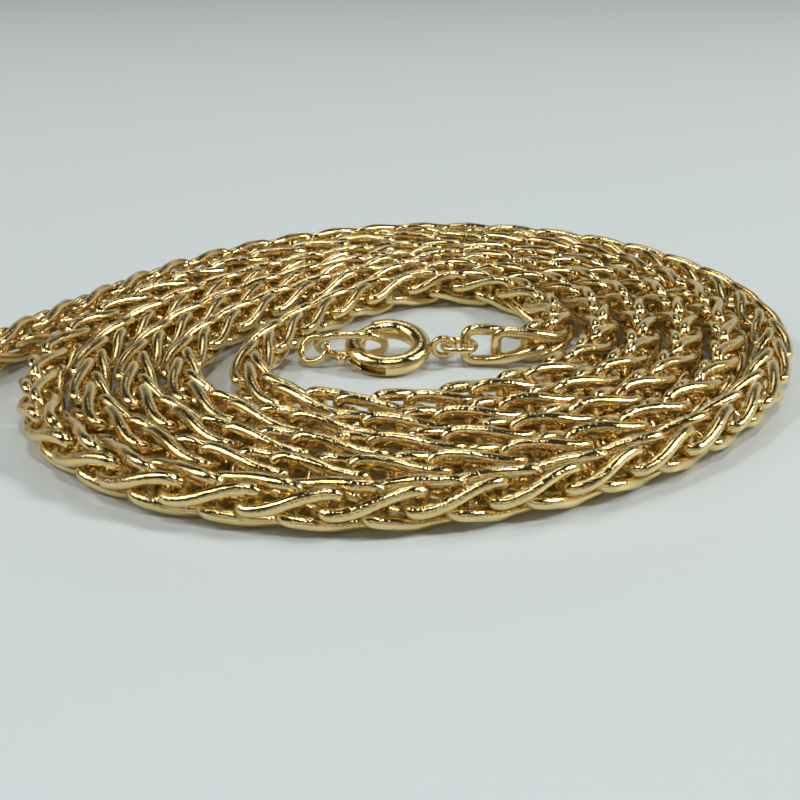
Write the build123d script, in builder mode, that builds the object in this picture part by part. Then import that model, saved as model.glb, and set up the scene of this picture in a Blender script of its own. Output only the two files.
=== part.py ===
from build123d import *
import math
import os

os.makedirs("parts", exist_ok=True)

# Driving dimensions, in millimetres and degrees. The necklace lies as a flat coil on a surface
# at z = 0. Angles run counterclockwise seen from above, with 0 along +X.

# The strand is linked wire in the real chain. Here it is a tube of the chain's outer size.
strand_d = 2.5
winding_gap = 0.1

# The coil's outline is the strand's centre line where it passes the front for the first time.
coil_radius = 22.0
coil_oval = 1.8
coil_oval_angle = 51
coil_egg = 0.3
coil_egg_angle = -27
front_turn = 0.75

# The windings leave a round room of at least this radius, measured to the strand's middle.
centre_room = 10.9

# The innermost winding leaves its neighbour for a stretch on the left side.
loose_inset = 1.6
loose_span_turns = 0.56

# Stations along the winding, in steps of a turn counted from the coil's left side
steps_per_turn = 15
first_station = 1
split_station = 40
end_station_past_left = 6

# Corners of the free end's route, from its tip to the coil, measured from the coil's centre
tail_corners = [(-30.9, -12.0), (-27.0, -5.4), (-23.4, 2.3)]

# Corners of the inner end's turn back, measured from where it leaves the innermost winding
inner_end_corners = [(1.1, -3.8), (0.5, -6.8), (-1.6, -8.5)]

# The last link's loop stands out of each end of the strand, its wire drawn in a little so that
# the rings have room.
end_loop_wire = 0.5
end_loop_half_height = 0.6
end_loop_reach = 0.925
end_loop_root = 0.3

# Round rings: outer diameter and wire
hook_gap = 0.1
connector_outer_d = 2.4
connector_wire = 0.45
end_ring_outer_d = 4.0
end_ring_wire = 0.5
small_ring_outer_d = 2.2
small_ring_wire = 0.42

# The oval link that is hooked in the clasp
hooked_length = 4.7
hooked_width = 3.4
hooked_wire = 0.5
hooked_tilt = 45
hooked_reach_inside = 1.22

# How the small ring hangs on the hooked link, and its room to the winding on its left
small_ring_shift = (-0.2, 0.05, -0.3)
small_ring_normal = (0.35, 0.62, -0.7)
small_ring_room = 0.77

# Spring-ring clasp
clasp_outer_d = 5.4
clasp_tube_d = 1.3
clasp_wall = 0.15
clasp_tilt = 14
mouth_start = 115
mouth_end = 165
eye_outer_d = 1.7
eye_wire = 0.42
eye_seat = 0.1

# The bolt runs inside the clasp's tube and is pushed back by its knob.
bolt_clearance = 0.06
bolt_tip_engagement = 7
bolt_tail_angle = 228
bolt_travel = 57
knob_angle = 205
knob_stem_d = 0.4
knob_ball_d = 0.66
knob_ball_gap = 0.12
slot_clearance = 0.06

# Worked out from the driving dimensions
strand_r = strand_d / 2
turn_spacing = strand_d + winding_gap
clasp_centre_r = (clasp_outer_d - clasp_tube_d) / 2
clasp_tube_r = clasp_tube_d / 2
clasp_bore_r = clasp_tube_r - clasp_wall
bolt_r = clasp_bore_r - bolt_clearance
connector_r = (connector_outer_d - connector_wire) / 2
end_ring_r = (end_ring_outer_d - end_ring_wire) / 2
small_ring_r = (small_ring_outer_d - small_ring_wire) / 2
eye_r = (eye_outer_d - eye_wire) / 2
full_turns = math.floor((coil_radius - centre_room) / turn_spacing + front_turn)
last_station = steps_per_turn * full_turns + end_station_past_left


def winding_point(turns):
    """Point of the strand's centre line, by parallel windings inside the coil's outline"""
    angle = math.pi - 2 * math.pi * turns
    oval_phase = angle - math.radians(coil_oval_angle)
    egg_phase = angle - math.radians(coil_egg_angle)
    radius = coil_radius + coil_oval * math.cos(2 * oval_phase) + coil_egg * math.cos(3 * egg_phase)
    slope = -2 * coil_oval * math.sin(2 * oval_phase) - 3 * coil_egg * math.sin(3 * egg_phase)
    outward = Vector(
        slope * math.sin(angle) + radius * math.cos(angle),
        radius * math.sin(angle) - slope * math.cos(angle),
    ).normalized()
    inset = turn_spacing * (turns - front_turn)
    from_loose_middle = abs(turns - full_turns) / loose_span_turns
    if from_loose_middle < 0.5:
        inset += loose_inset * (1 + math.cos(2 * math.pi * from_loose_middle)) / 2
    return Vector(radius * math.cos(angle), radius * math.sin(angle)) - outward * inset


def winding_direction(turns):
    """Direction in which the strand runs inwards at a point of the winding"""
    small = 0.001
    return (winding_point(turns + small) - winding_point(turns - small)).normalized()


def corner_after(station):
    """Where the winding's tangents at a station and at the next one meet"""
    first = station / steps_per_turn
    second = (station + 1) / steps_per_turn
    start, way = winding_point(first), winding_direction(first)
    end, next_way = winding_point(second), winding_direction(second)
    along = (end - start).cross(next_way).Z / way.cross(next_way).Z
    return start + way * along


def corner_radii(corners):
    """Largest tangent arc that each corner's two runs leave room for"""
    radii = []
    for before, corner, after in zip(corners, corners[1:], corners[2:]):
        turn = math.radians((corner - before).get_angle(after - corner))
        shorter = min((corner - before).length, (after - corner).length)
        radii.append(0.45 * shorter / math.tan(turn / 2))
    return radii


def ring_extent(ring_r, wire, normal_share):
    """Half the width of a ring along one axis, by its normal's component on that axis"""
    return ring_r * math.sqrt(1 - normal_share**2) + wire / 2


def lift(point, height):
    """A point of the plan at a height above the surface"""
    return Vector(point.X, point.Y, height)


# How far the connector, the clasp, the hooked link and the small ring reach from the inner end
hook_middle = end_loop_reach - end_loop_wire / 2 - hook_gap
connector_out = hook_middle - connector_wire / 2 + connector_r
clasp_out = eye_outer_d / 2 - eye_seat + clasp_outer_d / 2
hooked_end_r = (hooked_width - hooked_wire) / 2
hooked_straight = hooked_length - hooked_width
ring_inside = clasp_centre_r - clasp_tube_r
hooked_middle_out = ring_inside - hooked_reach_inside + hooked_end_r + hooked_straight / 2
far_end_out = hooked_middle_out + hooked_straight / 2 + hooked_end_r
small_share = Vector(*small_ring_normal).normalized().X
small_ring_reach = ring_extent(small_ring_r, small_ring_wire, small_share) - small_ring_shift[0]
group_reach = connector_out + connector_r + clasp_out + far_end_out + small_ring_reach

# Route of the strand, measured from the coil's centre
tail = [Vector(*corner) for corner in tail_corners]
outer_corners = tail + [corner_after(station) for station in range(first_station, split_station)]
inner_corners = [corner_after(station) for station in range(split_station, last_station)]
winding_end = winding_point(last_station / steps_per_turn)
inner_corners += [winding_end + Vector(*corner) for corner in inner_end_corners]
left_wall = winding_point(full_turns).X + strand_r
inner_corners += [Vector(left_wall + small_ring_room + group_reach, inner_corners[-1].Y)]
split_point = winding_point(split_station / steps_per_turn)

# The end ring hangs from the tail's loop and leans down to the surface.
tail_way = (tail[0] - tail[1]).normalized()
end_ring_drop = strand_r - end_ring_wire / 2
end_ring_lean = math.degrees(math.asin(end_ring_drop / (2 * end_ring_r)))
end_ring_out = hook_middle - end_ring_wire / 2 + end_ring_r * math.cos(math.radians(end_ring_lean))
end_ring_place = tail[0] + tail_way * end_ring_out
lean_share = math.sin(math.radians(end_ring_lean)) * tail_way.X

# The origin is the middle of the whole part's outline, on the surface that it lies on.
whole_route = outer_corners + inner_corners
whole_radii = corner_radii(whole_route)
outer_radii = whole_radii[: len(outer_corners) - 1]
inner_radii = whole_radii[len(outer_corners) - 1 :]
whole_line = FilletPolyline(*whole_route, radius=whole_radii, mode=Mode.PRIVATE)
line_box = whole_line.bounding_box()
left_edge = end_ring_place.X - ring_extent(end_ring_r, end_ring_wire, lean_share)
right_edge = line_box.max.X + strand_r
coil_centre = Vector(-(left_edge + right_edge) / 2, -(line_box.min.Y + line_box.max.Y) / 2)
strand_middle = lift(coil_centre, strand_r)
outer_route = [corner + strand_middle for corner in outer_corners + [split_point]]
inner_route = [corner + strand_middle for corner in [split_point] + inner_corners]


def loop_points(depth):
    """Outline of an end loop beside the strand's end, from one leg's root to the other's"""
    arc_start = end_loop_reach - end_loop_half_height
    return [
        (-depth, end_loop_half_height),
        (arc_start, end_loop_half_height),
        (end_loop_reach, 0),
        (arc_start, -end_loop_half_height),
        (-depth, -end_loop_half_height),
    ]


def end_plane(route_end, before_end):
    """Upright plane along the strand at one of its ends, with x pointing out of the end"""
    way = (route_end - before_end).normalized()
    return Plane(origin=route_end, x_dir=way, z_dir=way.cross(Vector(0, 0, 1)))


# Free end and outer windings
tail_plane = end_plane(outer_route[0], outer_route[1])
with BuildPart() as chain_outer:
    with BuildLine() as outer_line:
        FilletPolyline(*outer_route, radius=outer_radii)
    with BuildSketch(Plane(origin=outer_line.line @ 0, z_dir=outer_line.line % 0)):
        Circle(strand_r)
    sweep(path=outer_line.line)
    with BuildLine(tail_plane) as tail_loop:
        root, arc_start, arc_top, arc_end, other_root = loop_points(end_loop_root)
        Line(root, arc_start)
        ThreePointArc(arc_start, arc_top, arc_end)
        Line(arc_end, other_root)
    with BuildSketch(Plane(origin=tail_loop.line @ 0, z_dir=tail_loop.line % 0)):
        Circle(end_loop_wire / 2)
    sweep(path=tail_loop.line)

# Inner windings and the end that carries the clasp
inner_plane = end_plane(inner_route[-1], inner_route[-2])
with BuildPart() as chain_inner:
    with BuildLine() as inner_line:
        FilletPolyline(*inner_route, radius=inner_radii)
    with BuildSketch(Plane(origin=inner_line.line @ 0, z_dir=inner_line.line % 0)):
        Circle(strand_r)
    sweep(path=inner_line.line)
    with BuildLine(inner_plane) as inner_loop:
        root, arc_start, arc_top, arc_end, other_root = loop_points(end_loop_root)
        Line(root, arc_start)
        ThreePointArc(arc_start, arc_top, arc_end)
        Line(arc_end, other_root)
    with BuildSketch(Plane(origin=inner_loop.line @ 0, z_dir=inner_loop.line % 0)):
        Circle(end_loop_wire / 2)
    sweep(path=inner_loop.line)

# Connector ring, level, through the inner end's loop and the clasp's eye
inner_way = inner_plane.x_dir
connector_plane = Plane(origin=inner_plane.origin + inner_way * connector_out, z_dir=(0, 0, 1))
with BuildPart() as connector_ring:
    with Locations(connector_plane):
        Torus(connector_r, connector_wire / 2)

# The clasp's ring leans towards the front, with its front edge on the surface.
eye_place = connector_plane.origin + inner_way * connector_r
clasp_height = clasp_tube_r + clasp_centre_r * math.sin(math.radians(clasp_tilt))
clasp_plane = Plane(
    origin=lift(eye_place + inner_way * clasp_out, clasp_height),
    x_dir=-inner_way,
    z_dir=(0, -math.sin(math.radians(clasp_tilt)), math.cos(math.radians(clasp_tilt))),
)
clasp_axis = Axis(clasp_plane.origin, clasp_plane.z_dir)
eye_plane = Plane(
    origin=clasp_plane.origin + clasp_plane.x_dir * clasp_out,
    z_dir=clasp_plane.y_dir,
)


def clasp_section(angle):
    """Plane that cuts the clasp's ring across at an angle from its eye, with x outwards"""
    outward = clasp_plane.x_dir.rotate(Axis((0, 0, 0), clasp_plane.z_dir), angle)
    return Plane(origin=clasp_plane.origin, x_dir=outward, z_dir=clasp_plane.z_dir.cross(outward))


slot_half_angle = math.degrees((knob_stem_d / 2 + slot_clearance) / (clasp_outer_d / 2))
with BuildPart() as clasp_body:
    with BuildSketch(clasp_section(mouth_end)):
        with Locations((clasp_centre_r, 0)):
            Circle(clasp_tube_r)
    revolve(axis=clasp_axis, revolution_arc=360 - (mouth_end - mouth_start))
    with Locations(eye_plane):
        Torus(eye_r, eye_wire / 2)
    with BuildSketch(clasp_section(mouth_end)):
        with Locations((clasp_centre_r, 0)):
            Circle(clasp_bore_r)
    revolve(axis=clasp_axis, revolution_arc=360 - (mouth_end - mouth_start), mode=Mode.SUBTRACT)
    with BuildSketch(clasp_section(knob_angle - slot_half_angle)):
        with Locations((clasp_centre_r + clasp_tube_r, 0)):
            Rectangle(clasp_tube_d, knob_stem_d + 2 * slot_clearance)
    revolve(axis=clasp_axis, revolution_arc=bolt_travel + 2 * slot_half_angle, mode=Mode.SUBTRACT)

# Bolt with its knob, at rest across the mouth
bolt_tip_angle = mouth_start - bolt_tip_engagement
knob_plane = clasp_section(knob_angle)
knob_ball_out = clasp_centre_r + clasp_tube_r + knob_ball_gap + knob_ball_d / 2
with BuildPart() as clasp_bolt:
    with BuildSketch(clasp_section(bolt_tip_angle)):
        with Locations((clasp_centre_r, 0)):
            Circle(bolt_r)
    revolve(axis=clasp_axis, revolution_arc=bolt_tail_angle - bolt_tip_angle)
    stem_plane = Plane(
        origin=knob_plane.origin + knob_plane.x_dir * clasp_centre_r,
        z_dir=knob_plane.x_dir,
    )
    with BuildSketch(stem_plane):
        Circle(knob_stem_d / 2)
    extrude(amount=knob_ball_out - clasp_centre_r)
    with Locations(stem_plane.offset(knob_ball_out - clasp_centre_r)):
        Sphere(knob_ball_d / 2)

# Oval link hooked round the left side of the clasp's ring, with its back edge on the surface
hooked_lean = math.radians(hooked_tilt)
hooked_plane = Plane(
    origin=lift(
        clasp_plane.origin - clasp_plane.x_dir * hooked_middle_out,
        hooked_end_r * math.sin(hooked_lean) + hooked_wire / 2,
    ),
    x_dir=clasp_plane.x_dir,
    z_dir=(0, math.sin(hooked_lean), math.cos(hooked_lean)),
)
with BuildPart() as hooked_link:
    with BuildLine(hooked_plane) as hooked_line:
        right, front = hooked_straight / 2, hooked_end_r
        Line((-right, front), (right, front))
        ThreePointArc((right, front), (right + hooked_end_r, 0), (right, -front))
        Line((right, -front), (-right, -front))
        ThreePointArc((-right, -front), (-right - hooked_end_r, 0), (-right, front))
    with BuildSketch(Plane(origin=hooked_line.line @ 0, z_dir=hooked_line.line % 0)):
        Circle(hooked_wire / 2)
    sweep(path=hooked_line.line)

# Small ring round the hooked link's far end
far_end = hooked_plane.origin - hooked_plane.x_dir * (hooked_straight / 2 + hooked_end_r)
small_plane = Plane(origin=far_end + Vector(*small_ring_shift), z_dir=small_ring_normal)
with BuildPart() as small_ring:
    with Locations(small_plane):
        Torus(small_ring_r, small_ring_wire / 2)

# End ring, through the tail's loop and down to the surface
end_ring_plane = Plane(
    origin=lift(end_ring_place + coil_centre, (strand_r + end_ring_wire / 2) / 2),
    x_dir=tail_way.cross(Vector(0, 0, 1)),
    z_dir=Vector(0, 0, 1).rotate(
        Axis((0, 0, 0), tail_way.cross(Vector(0, 0, 1))), -end_ring_lean
    ),
)
with BuildPart() as end_ring:
    with Locations(end_ring_plane):
        Torus(end_ring_r, end_ring_wire / 2)

pieces = {
    "chain_outer": chain_outer,
    "chain_inner": chain_inner,
    "connector_ring": connector_ring,
    "clasp_body": clasp_body,
    "clasp_bolt": clasp_bolt,
    "hooked_link": hooked_link,
    "small_ring": small_ring,
    "end_ring": end_ring,
}
for name, piece in pieces.items():
    piece.part.label = name
    export_step(piece.part, f"parts/{name}.step")

print("radii", [round(radius, 1) for radius in whole_radii])
print("inner end corners from the centre", [(p.X, p.Y) for p in inner_corners[-4:]])
for name, line, piece in (("outer", outer_line, chain_outer), ("inner", inner_line, chain_inner)):
    length = line.wire().length
    share = piece.part.volume / (math.pi * strand_r**2 * length)
    print(name, "length", round(length, 1), "volume by section times length", round(share, 4))
print("coil centre", coil_centre, "clasp centre", clasp_plane.origin, "clasp axis", clasp_plane.z_dir)
print("end ring", end_ring_plane.origin, "normal", end_ring_plane.z_dir)
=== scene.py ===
"""Wheat chain necklace laid in a flat coil.

The CAD part holds the chain as a tube. This script lays linked wire along the same route in the
tube's place, gives the clasp and the rings their gold, and sets the stage.
"""

import math

import bpy
import numpy as np
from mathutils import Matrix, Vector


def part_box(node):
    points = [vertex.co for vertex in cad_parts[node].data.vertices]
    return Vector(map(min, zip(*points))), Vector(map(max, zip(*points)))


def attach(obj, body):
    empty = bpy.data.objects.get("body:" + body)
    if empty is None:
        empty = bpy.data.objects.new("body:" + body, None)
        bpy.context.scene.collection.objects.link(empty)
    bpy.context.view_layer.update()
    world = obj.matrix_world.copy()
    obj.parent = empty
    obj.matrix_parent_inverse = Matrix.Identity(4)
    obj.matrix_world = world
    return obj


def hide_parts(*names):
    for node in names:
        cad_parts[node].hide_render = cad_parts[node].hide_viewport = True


bl_info = {
    "name": "Wheat chain necklace",
    "version": (1, 0, 0),
    "blender": (4, 5, 0),
    "location": "3D view > Sidebar > Wheat chain",
    "description": "Lays a wheat chain along the packed part's coil, with its gold and stage",
    "category": "Object",
}

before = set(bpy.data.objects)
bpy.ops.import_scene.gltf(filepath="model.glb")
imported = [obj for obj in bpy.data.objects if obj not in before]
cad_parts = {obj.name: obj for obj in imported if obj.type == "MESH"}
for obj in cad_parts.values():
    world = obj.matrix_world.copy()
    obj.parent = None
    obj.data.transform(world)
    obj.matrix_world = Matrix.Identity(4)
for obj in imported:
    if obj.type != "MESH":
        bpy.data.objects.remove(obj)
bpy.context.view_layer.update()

MM = 0.001

# Chosen corners of the strand's route, as in the CAD source, in millimetres: the tail's from the
# coil's centre, and the inner end's from where it leaves the innermost winding
TAIL_CORNERS = ((-30.9, -12.0), (-27.0, -5.4), (-23.4, 2.3))
INNER_END_CORNERS = ((1.1, -3.8), (0.5, -6.8), (-1.6, -8.5))

# Turn of the links about the strand: (windings from the coil's left side, degrees)
ROLL_STOPS = ((0.0, 100.0), (0.5, 44.0), (0.75, 29.0), (1.0, 12.0), (1.75, -25.0), (5.5, -45.0))

# Slack in the chain, in millimetres: (way along the strand, how far its links are drawn along it)
SHIFT_STOPS = ((0.0, 0.0), (123.0, 0.34), (241.0, -0.56), (600.0, 0.0))

# Step, in windings, over which a winding's direction is taken
WINDING_STEP = 0.001

# The route as a fine line: the share of the shorter side that a rounded corner takes, points on
# such a corner, the distance between the line's points and the passes that even it out
CORNER_SHARE = 0.45
CORNER_POINTS = 13
LINE_SPACING = 0.1 * MM
LINE_PASSES = 60

# A link's cage: the step along the wire, as a share of its diameter, over which the wire's
# direction is taken, and the passes that fit the cage to the wire
WIRE_STEP = 0.01
CAGE_PASSES = 30

GOLD_NAME = "Polished 18 karat yellow gold"

# Grain of the gold. Real drawing marks are about 0.02 mm wide, too fine to show at the camera's
# distance, so both patterns are drawn coarser.
RIPPLE_SIZE = 0.12 * MM
RIPPLE_DEPTH = 0.025 * MM
MARK_SIZE = 0.09 * MM

# Edges sharper than this stay crisp on the clasp and the rings.
CRISP_EDGE = math.radians(35)

# Width of the camera's frame in millimetres
SENSOR_WIDTH = 36

# The sky's tones, by height along a rise that leans to the front and the left: it is pale low
# behind the coil, and dark overhead and at the camera's back.
SKY_RISE = (-0.15, -0.3, 1.0)
SKY_TONES = ((0.0, "#C6CAC8"), (0.16, "#8E8D84"), (0.36, "#2A2823"), (1.0, "#2F2C27"))

# Lights round the coil: name, place, width, depth, radiance
LIGHTS = (
    ("softbox_left", (-0.42, -0.04, 0.3), 0.2, 0.2, 4.0),
    ("softbox_back", (0.02, 0.2, 0.42), 0.2, 0.08, 4.0),
    ("lamp_left", (-0.3, -0.1, 0.4), 0.05, 0.05, 60.0),
    ("lamp_right", (0.42, -0.02, 0.3), 0.08, 0.1, 50.0),
    ("lamp_front", (0.04, -0.16, 0.46), 0.06, 0.05, 50.0),
    ("softbox_front", (0.05, -0.42, 0.16), 0.6, 0.12, 0.8),
)


def linear(code):
    """Linear colour of an sRGB hex code"""
    shares = [int(code[start : start + 2], 16) / 255 for start in (1, 3, 5)]
    curved = [c / 12.92 if c <= 0.04045 else ((c + 0.055) / 1.055) ** 2.4 for c in shares]
    return (*curved, 1.0)


class WheatRouteSettings(bpy.types.PropertyGroup):
    """Where the strand lies"""

    strand_diameter: bpy.props.FloatProperty(
        name="Strand diameter",
        description="Diameter of the tube that stands in for the chain",
        default=2.5 * MM,
        unit="LENGTH",
    )
    winding_gap: bpy.props.FloatProperty(
        name="Winding gap",
        description="Space between neighbouring windings",
        default=0.1 * MM,
        unit="LENGTH",
    )
    coil_radius: bpy.props.FloatProperty(
        name="Coil radius",
        description="Mean radius of the outline that the windings follow",
        default=22.0 * MM,
        unit="LENGTH",
    )
    coil_oval: bpy.props.FloatProperty(
        name="Coil oval",
        description="Second harmonic of the outline's radius",
        default=1.8 * MM,
        unit="LENGTH",
    )
    coil_oval_angle: bpy.props.FloatProperty(
        name="Coil oval angle",
        description="Where the oval is widest",
        default=math.radians(51),
        subtype="ANGLE",
    )
    coil_egg: bpy.props.FloatProperty(
        name="Coil egg",
        description="Third harmonic of the outline's radius",
        default=0.3 * MM,
        unit="LENGTH",
    )
    coil_egg_angle: bpy.props.FloatProperty(
        name="Coil egg angle",
        description="Where the third harmonic is widest",
        default=math.radians(-27),
        subtype="ANGLE",
    )
    front_turn: bpy.props.FloatProperty(
        name="Front turn",
        description="Windings from the left side to where the strand follows the outline itself",
        default=0.75,
        subtype="FACTOR",
    )
    loose_inset: bpy.props.FloatProperty(
        name="Loose inset",
        description="How far the innermost winding leaves its neighbour",
        default=1.6 * MM,
        unit="LENGTH",
    )
    loose_middle_turn: bpy.props.FloatProperty(
        name="Loose middle",
        description="Windings to the middle of the loose stretch",
        default=5.0,
        subtype="FACTOR",
    )
    loose_span_turns: bpy.props.FloatProperty(
        name="Loose span",
        description="Length of the loose stretch in windings",
        default=0.56,
        subtype="FACTOR",
    )
    steps_per_turn: bpy.props.IntProperty(
        name="Steps per turn",
        description="Stations along one winding of the CAD route",
        default=15,
    )
    first_station: bpy.props.IntProperty(
        name="First station",
        description="Where the tail joins the coil",
        default=1,
    )
    split_station: bpy.props.IntProperty(
        name="Split station",
        description="Where the CAD part's two chain nodes meet",
        default=40,
    )
    last_station: bpy.props.IntProperty(
        name="Last station",
        description="Where the inner end leaves the coil",
        default=81,
    )
    ring_gap: bpy.props.FloatProperty(
        name="Ring gap",
        description="Space between the strand's inner end and the wire of the connector ring",
        default=0.125 * MM,
        unit="LENGTH",
    )


class WheatLinkSettings(bpy.types.PropertyGroup):
    """Size of one link and its place on the strand"""

    wire: bpy.props.FloatProperty(
        name="Wire",
        description="Diameter of the round wire",
        default=0.7 * MM,
        unit="LENGTH",
    )
    length: bpy.props.FloatProperty(
        name="Length",
        description="Outer length of a link",
        default=5.22 * MM,
        unit="LENGTH",
    )
    width: bpy.props.FloatProperty(
        name="Width",
        description="Outer width of a link, which is the strand's thickness",
        default=2.62 * MM,
        unit="LENGTH",
    )
    corner: bpy.props.FloatProperty(
        name="Corner radius",
        description="Radius of a link's rounded corners, along the wire's middle",
        default=0.5 * MM,
        unit="LENGTH",
    )
    twist: bpy.props.FloatProperty(
        name="Twist",
        description="Turn of a link from one end to the other",
        default=math.radians(64),
        subtype="ANGLE",
    )
    twisted_share: bpy.props.FloatProperty(
        name="Twisted share",
        description="Middle share of a link's length that takes all of its twist",
        default=0.87,
        subtype="FACTOR",
    )
    half_pitch: bpy.props.FloatProperty(
        name="Half pitch",
        description="Way along the strand from a link to the next one of the other hand",
        default=1.9 * MM,
        unit="LENGTH",
    )
    settle: bpy.props.FloatProperty(
        name="Settle",
        description="How far the lowest wires reach into the floor's surface",
        default=0.02 * MM,
        unit="LENGTH",
    )
    end_reach: bpy.props.FloatProperty(
        name="End reach",
        description="How far the middle of the last link's wire stands out of the CAD strand",
        default=0.925 * MM,
        unit="LENGTH",
    )
    corner_rings: bpy.props.IntProperty(
        name="Corner rings",
        description="Sections of a link's cage in each of its corners",
        default=3,
    )
    side_rings: bpy.props.IntProperty(
        name="Side rings",
        description="Sections of a link's cage along each of its sides, between the corners",
        default=4,
    )
    sides: bpy.props.IntProperty(
        name="Sides",
        description="Sides of a link's cage",
        default=4,
    )


class WheatColourSettings(bpy.types.PropertyGroup):
    """Colours of the gold and the floor"""

    gold: bpy.props.FloatVectorProperty(
        name="Gold",
        description="Colour that the gold reflects straight on",
        default=linear("#EFD595"),
        size=4,
        min=0,
        max=1,
        subtype="COLOR",
    )
    floor: bpy.props.FloatVectorProperty(
        name="Floor",
        description="Colour of the laminate",
        default=linear("#DDE6E7"),
        size=4,
        min=0,
        max=1,
        subtype="COLOR",
    )


class WheatStageSettings(bpy.types.PropertyGroup):
    """Floor and camera"""

    lens: bpy.props.FloatProperty(
        name="Lens",
        description=f"Focal length on a frame {SENSOR_WIDTH} mm wide",
        default=54.0,
        unit="CAMERA",
    )
    pitch: bpy.props.FloatProperty(
        name="Pitch",
        description="How far the camera looks down",
        default=math.radians(22.75),
        subtype="ANGLE",
    )
    camera_place: bpy.props.FloatVectorProperty(
        name="Camera place",
        description="Camera's position in the row frame",
        default=(4.248 * MM, -72.087 * MM, 26.98 * MM),
        subtype="XYZ",
        unit="LENGTH",
    )
    nearest: bpy.props.FloatProperty(
        name="Nearest",
        description="Distance from which the camera sees",
        default=1 * MM,
        unit="LENGTH",
    )
    farthest: bpy.props.FloatProperty(
        name="Farthest",
        description="Distance up to which the camera sees",
        default=10.0,
        unit="LENGTH",
    )
    floor_size: bpy.props.FloatProperty(
        name="Floor size",
        description="Side of the square floor",
        default=4.0,
        unit="LENGTH",
    )


def unit(vectors):
    """Rows of vectors made one long"""
    return vectors / np.linalg.norm(vectors, axis=1)[:, None]


def nearest(points, point):
    """Number of the row in points that lies nearest to a point"""
    return np.argmin(np.linalg.norm(points - point, axis=1))


def winding_point(route, turns):
    """Point of the strand's middle from the coil's centre, by parallel windings in its outline"""
    angle = math.pi - 2 * math.pi * turns
    oval_phase = angle - route.coil_oval_angle
    egg_phase = angle - route.coil_egg_angle
    radius = (
        route.coil_radius
        + route.coil_oval * math.cos(2 * oval_phase)
        + route.coil_egg * math.cos(3 * egg_phase)
    )
    oval_slope = -2 * route.coil_oval * math.sin(2 * oval_phase)
    egg_slope = -3 * route.coil_egg * math.sin(3 * egg_phase)
    slope = oval_slope + egg_slope
    outward = np.array(
        (
            slope * math.sin(angle) + radius * math.cos(angle),
            radius * math.sin(angle) - slope * math.cos(angle),
        )
    )
    outward /= np.linalg.norm(outward)
    inset = (route.strand_diameter + route.winding_gap) * (turns - route.front_turn)
    from_loose_middle = abs(turns - route.loose_middle_turn) / route.loose_span_turns
    # The loose stretch swings in and back out, furthest at its middle.
    if from_loose_middle < 0.5:
        inset += route.loose_inset * (1 + math.cos(2 * math.pi * from_loose_middle)) / 2
    return np.array((radius * math.cos(angle), radius * math.sin(angle))) - outward * inset


def winding_way(route, turns):
    """Direction of the strand on a winding, as a short vector"""
    after = winding_point(route, turns + WINDING_STEP)
    return after - winding_point(route, turns - WINDING_STEP)


def split_point(route):
    """Where the CAD part's two chain nodes meet, from the coil's centre"""
    return winding_point(route, route.split_station / route.steps_per_turn)


def coil_corners(route):
    """Corners of the tail and the windings, from the coil's centre"""
    corners = [np.array(corner) * MM for corner in TAIL_CORNERS]
    for station in range(route.first_station, route.last_station):
        turns = station / route.steps_per_turn
        next_turns = (station + 1) / route.steps_per_turn
        start, way = winding_point(route, turns), winding_way(route, turns)
        end, next_way = winding_point(route, next_turns), winding_way(route, next_turns)
        # The corner is where the tangents at two neighbouring stations meet.
        span = end - start
        crossing = way[0] * next_way[1] - way[1] * next_way[0]
        along = (span[0] * next_way[1] - span[1] * next_way[0]) / crossing
        corners.append(start + way * along)
    return corners


def inner_end_corners(route, centre):
    """Corners of the turn back to the clasp, from the coil's centre"""
    leaving = winding_point(route, route.last_station / route.steps_per_turn)
    corners = [leaving + np.array(corner) * MM for corner in INNER_END_CORNERS]
    # The strand ends at the right of the connector ring.
    end_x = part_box("connector_ring")[1].x + route.ring_gap - centre[0]
    return corners + [np.array((end_x, corners[-1][1]))]


def rounded_line(corners):
    """A route as evenly spaced points, its corners rounded close to the CAD source's arcs"""
    dense = [corners[0]]
    for before, corner, after in zip(corners, corners[1:], corners[2:]):
        back, ahead = before - corner, after - corner
        back_length, ahead_length = np.linalg.norm(back), np.linalg.norm(ahead)
        trim = CORNER_SHARE * min(back_length, ahead_length)
        start = corner + back / back_length * trim
        end = corner + ahead / ahead_length * trim
        for share in np.linspace(0, 1, CORNER_POINTS):
            rounded = (1 - share) ** 2 * start + 2 * share * (1 - share) * corner
            dense.append(rounded + share**2 * end)
    dense.append(corners[-1])
    dense = np.array(dense)
    lengths = np.concatenate(([0], np.cumsum(np.linalg.norm(np.diff(dense, axis=0), axis=1))))
    stations = np.linspace(0, lengths[-1], int(lengths[-1] / LINE_SPACING) + 1)
    points = np.stack([np.interp(stations, lengths, dense[:, axis]) for axis in (0, 1)], axis=1)
    for _ in range(LINE_PASSES):
        points[1:-1] = (points[:-2] + 2 * points[1:-1] + points[2:]) / 4
    return points


def coil_centre(route, line):
    """Coil's centre in the row frame, where the line's inner windings share their node's middle"""
    inner = line[nearest(line, split_point(route)) :]
    node_low, node_high = (np.array(corner)[:2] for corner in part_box("chain_inner"))
    return (node_low + node_high - inner.min(axis=0) - inner.max(axis=0)) / 2


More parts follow.
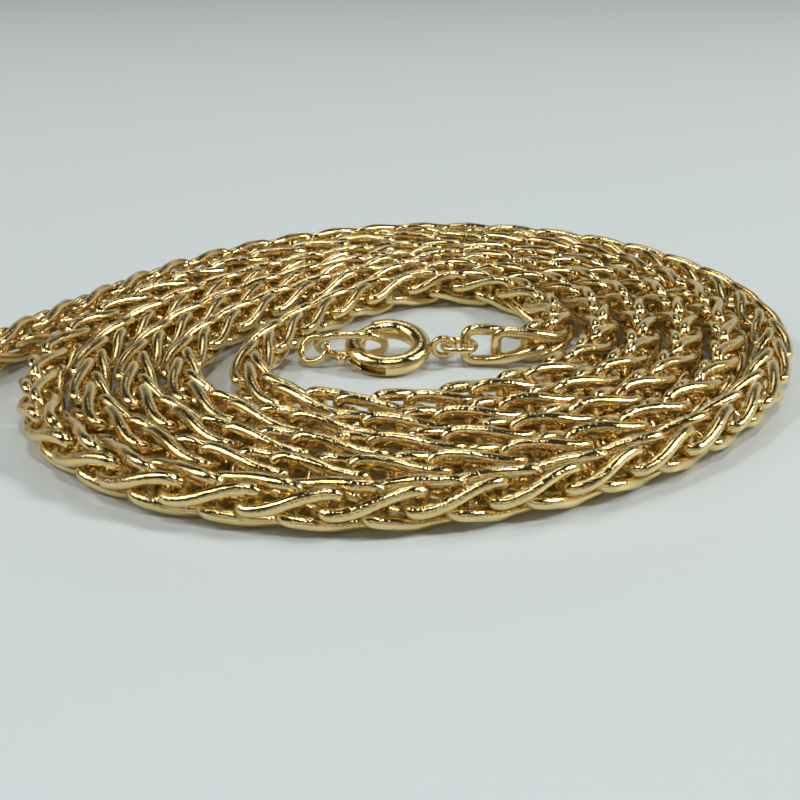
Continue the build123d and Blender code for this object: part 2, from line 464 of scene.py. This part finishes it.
class StrandRoute:
    """Places and directions along the strand, by the way from its tail.

    The route's own points are measured from the coil's centre.
    """

    def __init__(self, route):
        corners = coil_corners(route)
        self.centre = coil_centre(route, rounded_line(corners))
        self.points = rounded_line(corners + inner_end_corners(route, self.centre))
        steps = np.linalg.norm(np.diff(self.points, axis=0), axis=1)
        self.ways = np.concatenate(([0], np.cumsum(steps)))
        self.length = self.ways[-1]
        self.tangents = unit(np.gradient(self.points, self.ways, axis=0))

    def at(self, way):
        """Points in the row frame and unit tangents at an array of ways.

        Both go straight on past the strand's ends.
        """
        inside = np.clip(way, 0, self.length)
        point, tangent = (
            np.stack([np.interp(inside, self.ways, rows[:, axis]) for axis in (0, 1)], axis=1)
            for rows in (self.points, self.tangents)
        )
        tangent = unit(tangent)
        return self.centre + point + tangent * (way - inside)[:, None], tangent

    def windings(self, ways):
        """Windings from the coil's left side to an array of ways, below 0 on the tail"""
        angles = np.unwrap(np.arctan2(self.points[:, 1], self.points[:, 0]))
        windings = (math.pi - angles) / (2 * math.pi)
        return np.interp(ways, self.ways, windings - round(windings[0]))


def link_outline(link):
    """Middle of a flat link's wire: a rounded oblong about the origin, as rows of X and Y"""
    half_length = (link.length - link.wire) / 2
    half_width = (link.width - link.wire) / 2
    straight_x, straight_y = half_length - link.corner, half_width - link.corner
    outline = []
    for quadrant, (side_x, side_y) in enumerate(((1, 1), (-1, 1), (-1, -1), (1, -1))):
        for share in np.linspace(0, 1, link.corner_rings):
            angle = (quadrant + share) * math.pi / 2
            x = side_x * straight_x + link.corner * math.cos(angle)
            y = side_y * straight_y + link.corner * math.sin(angle)
            outline.append((x, y))
        # The two long sides follow the first and the third corner.
        if quadrant % 2 == 0:
            for x in np.linspace(side_x, -side_x, link.side_rings + 2)[1:-1]:
                outline.append((x * straight_x, side_y * half_width))
    return np.array(outline)


def wound(link, hand, outline):
    """Points of a flat link's outline wound about the strand, with the turn of each"""
    half_length = (link.length - link.wire) / 2
    along = np.clip(outline[:, 0] / half_length / link.twisted_share, -1, 1)
    turn = hand * link.twist / 2 * np.sin(math.pi / 2 * along)
    across = outline[:, 1] * np.cos(turn)
    rise = outline[:, 1] * np.sin(turn)
    return np.stack([outline[:, 0], across, rise], axis=1), turn


def drawn_out(wanted):
    """Cage whose form, once subdivided, passes through the wanted points.

    Both are a grid: rings along the wire by points around it, closed both ways.
    """
    cage = wanted.copy()
    for _ in range(CAGE_PASSES):
        rounded = cage
        for axis in (0, 1):
            beside = np.roll(rounded, 1, axis=axis) + np.roll(rounded, -1, axis=axis)
            # Subdivision takes four sixths of a point and a sixth of each of its neighbours.
            rounded = (4 * rounded + beside) / 6
        cage += wanted - rounded
    return cage


def cage_faces(rings, sides):
    """Faces of a link's cage as rows of four vertex numbers"""
    faces = []
    for ring in range(rings):
        after = (ring + 1) % rings
        for side in range(sides):
            beside = (side + 1) % sides
            corners = ((ring, side), (ring, beside), (after, beside), (after, side))
            faces.append([row * sides + column for row, column in corners])
    return np.array(faces)


def link_cage(link, hand):
    """Cage of one twisted link along X: its vertices and its faces.

    The link is worked out rather than bent by a modifier, so that its wire stays round while
    its two sides wind about the strand.
    """
    outline = link_outline(link)
    # The outline's direction at each ring lies between those of its two neighbouring sides.
    ahead = unit(np.roll(outline, -1, axis=0) - outline)
    step = unit(ahead + np.roll(ahead, 1, axis=0)) * link.wire * WIRE_STEP
    middle, turn = wound(link, hand, outline)
    tangent = unit(wound(link, hand, outline + step)[0] - wound(link, hand, outline - step)[0])
    face_normal = np.stack([0 * turn, -np.sin(turn), np.cos(turn)], axis=1)
    first = unit(face_normal - tangent * np.sum(face_normal * tangent, axis=1)[:, None])
    second = np.cross(tangent, first)
    angles = np.linspace(0, 2 * math.pi, link.sides, endpoint=False)[None, :, None]
    offsets = first[:, None] * np.cos(angles) + second[:, None] * np.sin(angles)
    cage = drawn_out(middle[:, None] + offsets * link.wire / 2)
    return cage.reshape(-1, 3), cage_faces(len(outline), link.sides)


def link_places(link, line):
    """Way, roll and hand of every link, from the tail to the clasp"""
    first = (link.length - link.wire) / 2 - link.end_reach
    last = line.length - first
    # The count is odd, so that both ends of the strand have a link of the same hand.
    count = round((last - first) / link.half_pitch / 2) * 2 + 1
    ways = np.linspace(first, last, count)
    shifts = np.array(SHIFT_STOPS) * MM
    ways += np.interp(ways, shifts[:, 0], shifts[:, 1])
    stops = np.array(ROLL_STOPS)
    rolls = np.radians(np.interp(line.windings(ways), stops[:, 0], stops[:, 1]))
    # Links of the two hands take turns, and the second hand stands a quarter turn on.
    rolls[1::2] += math.pi / 2
    hands = [1 if number % 2 == 0 else -1 for number in range(count)]
    return list(zip(ways, rolls, hands))


def strand_mesh(name, cages, line, places, height):
    """One mesh of links laid along the strand. Each place is (way, roll, hand)."""
    vertices, faces = [], []
    count = 0
    for way, roll, hand in places:
        cage, quads = cages[hand]
        across = cage[:, 1] * math.cos(roll) - cage[:, 2] * math.sin(roll)
        up = cage[:, 1] * math.sin(roll) + cage[:, 2] * math.cos(roll)
        point, tangent = line.at(way - cage[:, 0])
        left = np.stack([-tangent[:, 1], tangent[:, 0]], axis=1)
        plan = point + left * across[:, None]
        vertices.append(np.column_stack([plan, up + height]))
        faces.append(quads + count)
        count += len(cage)
    mesh = bpy.data.meshes.new(name)
    mesh.from_pydata(np.concatenate(vertices).tolist(), [], np.concatenate(faces).tolist())
    mesh.update()
    return mesh


def select_only(thing):
    """Makes one object the only selected and the active one"""
    bpy.ops.object.select_all(action="DESELECT")
    thing.select_set(True)
    bpy.context.view_layer.objects.active = thing


def round_wire(piece):
    """Subdivides a strand's cages once into round wire, with faces outward and smooth"""
    select_only(piece)
    smoother = piece.modifiers.new("Round the wire", "SUBSURF")
    smoother.levels = smoother.render_levels = 1
    bpy.ops.object.modifier_apply(modifier=smoother.name)
    bpy.ops.object.mode_set(mode="EDIT")
    bpy.ops.mesh.select_all(action="SELECT")
    bpy.ops.mesh.normals_make_consistent(inside=False)
    bpy.ops.object.mode_set(mode="OBJECT")
    bpy.ops.object.shade_smooth()


def add_node(tree, kind, settings=None, inputs=None, links=None):
    """Adds a node with its settings, input values and incoming links"""
    node = tree.nodes.new(kind)
    for name, value in (settings or {}).items():
        setattr(node, name, value)
    for socket, value in (inputs or {}).items():
        node.inputs[socket].default_value = value
    for socket, source in (links or {}).items():
        tree.links.new(source, node.inputs[socket])
    return node


def polished_gold(colour):
    """Yellow gold wire, polished bright: pale champagne highlights, amber where wires reflect
    each other, and fine ripples and marks that break the dark reflections into grain.

    It is made at the first call and shared by all pieces.
    """
    if GOLD_NAME in bpy.data.materials:
        return bpy.data.materials[GOLD_NAME]
    material = bpy.data.materials.new(GOLD_NAME)
    material.use_nodes = True
    tree = material.node_tree
    tree.nodes.clear()
    place = add_node(tree, "ShaderNodeTexCoord")
    ripples, marks = (
        add_node(
            tree,
            "ShaderNodeTexNoise",
            inputs={"Scale": 1 / size, "Detail": 2.0, "Roughness": 0.6},
            links={"Vector": place.outputs["Object"]},
        )
        for size in (RIPPLE_SIZE, MARK_SIZE)
    )
    gloss = add_node(
        tree,
        "ShaderNodeMapRange",
        inputs={"From Min": 0.3, "From Max": 0.7, "To Min": 0.06, "To Max": 0.16},
        links={"Value": marks.outputs["Fac"]},
    )
    bump = add_node(
        tree,
        "ShaderNodeBump",
        inputs={"Strength": 1.0, "Distance": RIPPLE_DEPTH},
        links={"Height": ripples.outputs["Fac"]},
    )
    metal = add_node(
        tree,
        "ShaderNodeBsdfPrincipled",
        inputs={"Base Color": colour, "Metallic": 1.0},
        links={"Roughness": gloss.outputs["Result"], "Normal": bump.outputs["Normal"]},
    )
    add_node(tree, "ShaderNodeOutputMaterial", links={"Surface": metal.outputs["BSDF"]})
    return material


def pale_floor(colour):
    """Pale grey laminate with a satin sheen: a faint, soft reflection of what lies on it"""
    material = bpy.data.materials.new("Pale satin laminate")
    material.use_nodes = True
    shader = material.node_tree.nodes["Principled BSDF"]
    shader.inputs["Base Color"].default_value = colour
    shader.inputs["Roughness"].default_value = 0.35
    return material


def studio_sky(tree):
    """Sky that the wires reflect: pale low behind the coil, dark and patchy above"""
    tree.nodes.clear()
    place = add_node(tree, "ShaderNodeTexCoord")
    height = add_node(
        tree,
        "ShaderNodeVectorMath",
        settings={"operation": "DOT_PRODUCT"},
        inputs={1: SKY_RISE},
        links={0: place.outputs["Generated"]},
    )
    ramp = add_node(tree, "ShaderNodeValToRGB", links={"Fac": height.outputs["Value"]})
    # A new ramp already has its first and its last stop.
    stops = ramp.color_ramp.elements
    for position, _ in SKY_TONES[1:-1]:
        stops.new(position)
    for stop, (_, code) in zip(stops, SKY_TONES):
        stop.color = linear(code)
    patches = add_node(
        tree,
        "ShaderNodeTexNoise",
        inputs={"Scale": 9.0, "Detail": 3.0, "Roughness": 0.7},
        links={"Vector": place.outputs["Generated"]},
    )
    brightness = add_node(
        tree,
        "ShaderNodeMapRange",
        inputs={"From Min": 0.42, "From Max": 0.62, "To Min": 0.4, "To Max": 2.0},
        links={"Value": patches.outputs["Fac"]},
    )
    above_horizon = add_node(
        tree,
        "ShaderNodeMapRange",
        inputs={"From Min": 0.1, "From Max": 0.3},
        links={"Value": height.outputs["Value"]},
    )
    strength = add_node(
        tree,
        "ShaderNodeMix",
        inputs={"A": 1.0},
        links={"Factor": above_horizon.outputs["Result"], "B": brightness.outputs["Result"]},
    )
    sky = add_node(
        tree,
        "ShaderNodeBackground",
        links={"Color": ramp.outputs["Color"], "Strength": strength.outputs["Result"]},
    )
    add_node(tree, "ShaderNodeOutputWorld", links={"Surface": sky.outputs["Background"]})


def add_light(name, place, width, depth, radiance):
    """Adds a rectangular light that faces the coil"""
    bpy.ops.object.light_add(type="AREA", location=place)
    light = bpy.context.active_object
    light.name = name
    light.data.shape = "RECTANGLE"
    light.data.size = width
    light.data.size_y = depth
    light.data.energy = math.pi * width * depth * radiance
    direction = -light.location.normalized()
    light.rotation_euler = direction.to_track_quat("-Z", "Y").to_euler()


def add_camera(stage):
    """Adds the camera at the photograph's place, its frame level"""
    bpy.ops.object.camera_add(location=stage.camera_place)
    camera = bpy.context.active_object
    camera.rotation_euler = (math.pi / 2 - stage.pitch, 0, 0)
    camera.data.lens = stage.lens
    camera.data.sensor_width = SENSOR_WIDTH
    camera.data.clip_start = stage.nearest
    camera.data.clip_end = stage.farthest
    return camera


class WHEAT_OT_chain(bpy.types.Operator):
    """Lays the linked chain along the strand's route, in the two pieces of the CAD part"""

    bl_idname = "wheat.chain"
    bl_label = "Lay the wheat chain"

    def execute(self, context):
        route, link = context.scene.wheat_route, context.scene.wheat_link
        line = StrandRoute(route)
        cages = {hand: link_cage(link, hand) for hand in (1, -1)}
        places = link_places(link, line)
        height = link.width / 2 - link.settle
        split = line.ways[nearest(line.points, split_point(route))]
        parts = {
            "wheat_chain_outer": ("chain_outer", [place for place in places if place[0] < split]),
            "wheat_chain_inner": ("chain_inner", [place for place in places if place[0] >= split]),
        }
        gold = polished_gold(context.scene.wheat_colours.gold)
        for name, (node, own) in parts.items():
            mesh = strand_mesh(name, cages, line, own, height)
            piece = bpy.data.objects.new(name, mesh)
            context.scene.collection.objects.link(piece)
            round_wire(piece)
            piece.data.materials.append(gold)
            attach(piece, "necklace")
            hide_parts(node)
        return {"FINISHED"}


class WHEAT_OT_fittings(bpy.types.Operator):
    """Gives the clasp and the rings of the CAD part their gold"""

    bl_idname = "wheat.fittings"
    bl_label = "Finish the clasp and rings"

    def execute(self, context):
        gold = polished_gold(context.scene.wheat_colours.gold)
        for name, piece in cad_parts.items():
            if name.startswith("chain_"):
                continue
            piece.data.materials.clear()
            piece.data.materials.append(gold)
            select_only(piece)
            bpy.ops.object.shade_smooth_by_angle(angle=CRISP_EDGE)
        return {"FINISHED"}


class WHEAT_OT_stage(bpy.types.Operator):
    """Sets the floor, the light and the camera"""

    bl_idname = "wheat.stage"
    bl_label = "Set the stage"

    def execute(self, context):
        scene = context.scene
        bpy.ops.mesh.primitive_plane_add(size=scene.wheat_stage.floor_size)
        floor = context.active_object
        floor.name = "floor"
        floor.data.materials.append(pale_floor(scene.wheat_colours.floor))

        scene.world = scene.world or bpy.data.worlds.new("Studio")
        scene.world.use_nodes = True
        studio_sky(scene.world.node_tree)
        for light in LIGHTS:
            add_light(*light)

        scene.camera = add_camera(scene.wheat_stage)
        scene.view_settings.view_transform = "Standard"
        return {"FINISHED"}


class WHEAT_PT_panel(bpy.types.Panel):
    """Panel with the necklace's settings and steps"""

    bl_idname = "WHEAT_PT_panel"
    bl_label = "Wheat chain"
    bl_space_type = "VIEW_3D"
    bl_region_type = "UI"
    bl_category = "Wheat chain"

    def draw(self, context):
        for name in SETTINGS:
            group = getattr(context.scene, name)
            box = self.layout.box()
            for key in group.bl_rna.properties.keys():
                if key not in ("rna_type", "name"):
                    box.prop(group, key)
        for step in ("wheat.chain", "wheat.fittings", "wheat.stage"):
            self.layout.operator(step)


SETTINGS = {
    "wheat_route": WheatRouteSettings,
    "wheat_link": WheatLinkSettings,
    "wheat_colours": WheatColourSettings,
    "wheat_stage": WheatStageSettings,
}

CLASSES = (
    *SETTINGS.values(),
    WHEAT_OT_chain,
    WHEAT_OT_fittings,
    WHEAT_OT_stage,
    WHEAT_PT_panel,
)


def register():
    for kind in CLASSES:
        bpy.utils.register_class(kind)
    for name, group in SETTINGS.items():
        setattr(bpy.types.Scene, name, bpy.props.PointerProperty(type=group))


def unregister():
    for name in SETTINGS:
        delattr(bpy.types.Scene, name)
    for kind in reversed(CLASSES):
        bpy.utils.unregister_class(kind)


def main():
    register()
    bpy.ops.wheat.chain()
    bpy.ops.wheat.fittings()
    bpy.ops.wheat.stage()
    bpy.context.view_layer.update()


if __name__ == "__main__":
    main()
